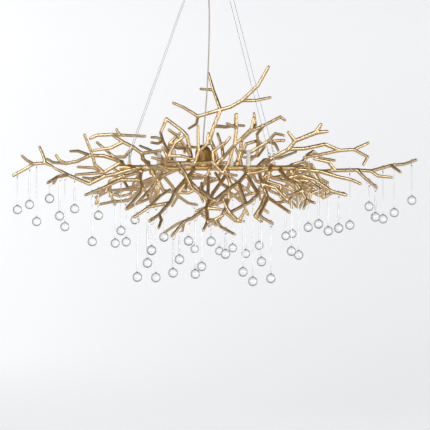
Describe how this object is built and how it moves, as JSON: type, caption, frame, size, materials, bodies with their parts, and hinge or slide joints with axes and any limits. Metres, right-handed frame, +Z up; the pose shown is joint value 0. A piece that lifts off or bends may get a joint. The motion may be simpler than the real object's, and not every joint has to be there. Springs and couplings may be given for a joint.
{
  "type": "branch chandelier",
  "caption": "Long suspended lamp: cast metal twigs on a level tube carry swinging clear glass drops; steel cables and a power cord lead up to a round ceiling canopy.",
  "frame": {"origin": "on the ceiling, in the middle of the canopy and its bracket", "axes": "+Z up, out of the lamp into the ceiling; +X along the carrying tube, towards the lamp's right end as pictured; +Y away from the viewer"},
  "size_m": [1.2999, 0.451, 1.0015],
  "materials": {
    "cast_gold": "cast, satin champagne gold lacquer",
    "gold_lacquer": "satin champagne gold lacquer",
    "dark_gold": "satin dark gold lacquer",
    "canopy_lacquer": "satin champagne gold lacquer",
    "clear_glass": "clear, fire polished",
    "lamp_glass": "frosted",
    "ceramic": "unglazed white ceramic",
    "steel_cable": "stranded, bright",
    "zinc_steel": "zinc plated",
    "nickel_brass": "nickel plated",
    "cord_plastic": "translucent warm grey",
    "clear_plastic": "moulded",
    "white_plastic": "moulded",
    "wire_plastic": "silicone sleeve"
  },
  "bodies": {
    "frame": {"ceiling_bracket": "zinc_steel", "canopy_studs": "zinc_steel", "ceiling_canopy": "canopy_lacquer", "canopy_cap_nuts": "gold_lacquer", "terminal_blocks": "white_plastic", "cord_bushes": "clear_plastic", "cable_grippers": "zinc_steel", "power_cord": "cord_plastic", "cable_ferrules": "nickel_brass", "eye_bolts": "zinc_steel", "carrying_tube": "gold_lacquer", "end_plugs": "gold_lacquer", "cross_rails": "gold_lacquer", "hub_plate": "gold_lacquer", "hub_dome": "dark_gold", "lamp_holders": "ceramic", "lamp_wires": "wire_plastic", "bar_screws": "zinc_steel", "cable_front_left": "steel_cable", "cable_front_right": "steel_cable", "cable_back_left": "steel_cable", "cable_back_right": "steel_cable", "left_reach_twig": "cast_gold", "left_upper_twig": "cast_gold", "left_crown_twig": "cast_gold", "left_lower_twig": "cast_gold", "sweep_twig": "cast_gold", "middle_left_crown_twig": "cast_gold", "tall_crown_twig": "cast_gold", "middle_right_crown_twig": "cast_gold", "right_upper_twig": "cast_gold", "right_reach_twig": "cast_gold", "right_lower_twig": "cast_gold", "front_web_twig": "cast_gold", "front_low_twig": "cast_gold", "low_right_twig": "cast_gold", "back_left_twig": "cast_gold", "back_right_twig": "cast_gold"},
    "lamp_one": {"lamp_one": "lamp_glass"},
    "lamp_two": {"lamp_two": "lamp_glass"},
    "lamp_three": {"lamp_three": "lamp_glass"},
    "lamp_four": {"lamp_four": "lamp_glass"},
    "gripper_releases": {"gripper_releases": "nickel_brass"},
    "left_tip_drops": {"left_tip_drops": "clear_glass"},
    "left_fork_drops": {"left_fork_drops": "clear_glass"},
    "left_front_drops": {"left_front_drops": "clear_glass"},
    "left_low_drops": {"left_low_drops": "clear_glass"},
    "sweep_side_drops": {"sweep_side_drops": "clear_glass"},
    "sweep_drops": {"sweep_drops": "clear_glass"},
    "front_fan_drops": {"front_fan_drops": "clear_glass"},
    "front_low_drops": {"front_low_drops": "clear_glass"},
    "web_drops": {"web_drops": "clear_glass"},
    "low_right_drops": {"low_right_drops": "clear_glass"},
    "right_fork_drops": {"right_fork_drops": "clear_glass"},
    "right_long_drops": {"right_long_drops": "clear_glass"},
    "right_reach_drops": {"right_reach_drops": "clear_glass"},
    "right_fork_small_drops": {"right_fork_small_drops": "clear_glass"},
    "back_left_drops": {"back_left_drops": "clear_glass"},
    "back_middle_drops": {"back_middle_drops": "clear_glass"},
    "back_right_drops": {"back_right_drops": "clear_glass"}
  },
  "joints": [
    {"name": "left_tip_swing", "type": "hinge", "parent": "frame", "child": "left_tip_drops", "pos_m": [-0.54329, -0.00727, -0.63672], "axis": [-0.9904, -0.0306, 0.1347], "range_deg": [-5, 5]},
    {"name": "left_fork_swing", "type": "hinge", "parent": "frame", "child": "left_fork_drops", "pos_m": [-0.48009, -0.05366, -0.66291], "axis": [-0.4649, -0.8425, -0.2723], "range_deg": [-5, 5]},
    {"name": "left_front_swing", "type": "hinge", "parent": "frame", "child": "left_front_drops", "pos_m": [-0.33457, -0.06972, -0.69239], "axis": [-0.8662, -0.3158, -0.3873], "range_deg": [-5, 5]},
    {"name": "left_low_swing", "type": "hinge", "parent": "frame", "child": "left_low_drops", "pos_m": [-0.2683, -0.02595, -0.72918], "axis": [-0.8683, 0.4176, -0.2677], "range_deg": [-5, 5]},
    {"name": "sweep_side_swing", "type": "hinge", "parent": "frame", "child": "sweep_side_drops", "pos_m": [-0.19838, -0.17983, -0.76336], "axis": [-0.7827, -0.4659, -0.4127], "range_deg": [-5, 5]},
    {"name": "sweep_swing", "type": "hinge", "parent": "frame", "child": "sweep_drops", "pos_m": [-0.16521, -0.1866, -0.77844], "axis": [-0.5408, -0.6984, -0.4687], "range_deg": [-5, 5]},
    {"name": "front_fan_swing", "type": "hinge", "parent": "frame", "child": "front_fan_drops", "pos_m": [-0.07302, -0.15643, -0.8006], "axis": [-0.6632, -0.5487, -0.5091], "range_deg": [-5, 5]},
    {"name": "front_low_swing", "type": "hinge", "parent": "frame", "child": "front_low_drops", "pos_m": [0.01998, -0.17765, -0.81059], "axis": [0.6112, -0.6859, -0.3948], "range_deg": [-5, 5]},
    {"name": "web_swing", "type": "hinge", "parent": "frame", "child": "web_drops", "pos_m": [0.11356, -0.15891, -0.74166], "axis": [-0.7045, -0.5725, -0.4195], "range_deg": [-5, 5]},
    {"name": "low_right_swing", "type": "hinge", "parent": "frame", "child": "low_right_drops", "pos_m": [0.1708, -0.15253, -0.79533], "axis": [0.6949, -0.5851, -0.4181], "range_deg": [-5, 5]},
    {"name": "right_fork_swing", "type": "hinge", "parent": "frame", "child": "right_fork_drops", "pos_m": [0.26396, -0.13365, -0.7125], "axis": [-0.8001, -0.4942, -0.3401], "range_deg": [-5, 5]},
    {"name": "right_long_swing", "type": "hinge", "parent": "frame", "child": "right_long_drops", "pos_m": [0.35497, -0.12483, -0.68718], "axis": [0.7953, -0.4007, -0.4548], "range_deg": [-5, 5]},
    {"name": "right_reach_swing", "type": "hinge", "parent": "frame", "child": "right_reach_drops", "pos_m": [0.56501, -0.06266, -0.62255], "axis": [0.9877, -0.0798, 0.1344], "range_deg": [-5, 5]},
    {"name": "right_fork_small_swing", "type": "hinge", "parent": "frame", "child": "right_fork_small_drops", "pos_m": [0.51677, -0.0956, -0.68124], "axis": [0.577, -0.572, -0.583], "range_deg": [-5, 5]},
    {"name": "back_left_swing", "type": "hinge", "parent": "frame", "child": "back_left_drops", "pos_m": [-0.0369, 0.19689, -0.74377], "axis": [0.6698, 0.7425, 0], "range_deg": [-5, 5]},
    {"name": "back_middle_swing", "type": "hinge", "parent": "frame", "child": "back_middle_drops", "pos_m": [0.08906, 0.13803, -0.7158], "axis": [-0.6098, 0.7205, -0.3302], "range_deg": [-5, 5]},
    {"name": "back_right_swing", "type": "hinge", "parent": "frame", "child": "back_right_drops", "pos_m": [0.24623, 0.1195, -0.69783], "axis": [0.7674, 0.5717, -0.2903], "range_deg": [-5, 5]},
    {"name": "lamp_one_pull", "type": "slide", "parent": "frame", "child": "lamp_one", "axis": [0, 0, 1], "range_m": [0, 0.012]},
    {"name": "lamp_two_pull", "type": "slide", "parent": "frame", "child": "lamp_two", "axis": [0, 0, 1], "range_m": [0, 0.012]},
    {"name": "lamp_three_pull", "type": "slide", "parent": "frame", "child": "lamp_three", "axis": [0, 0, 1], "range_m": [0, 0.012]},
    {"name": "lamp_four_pull", "type": "slide", "parent": "frame", "child": "lamp_four", "axis": [0, 0, 1], "range_m": [0, 0.012]},
    {"name": "release_push", "type": "slide", "parent": "frame", "child": "gripper_releases", "axis": [0, 0, 1], "range_m": [0, 0.002]}
  ]
}
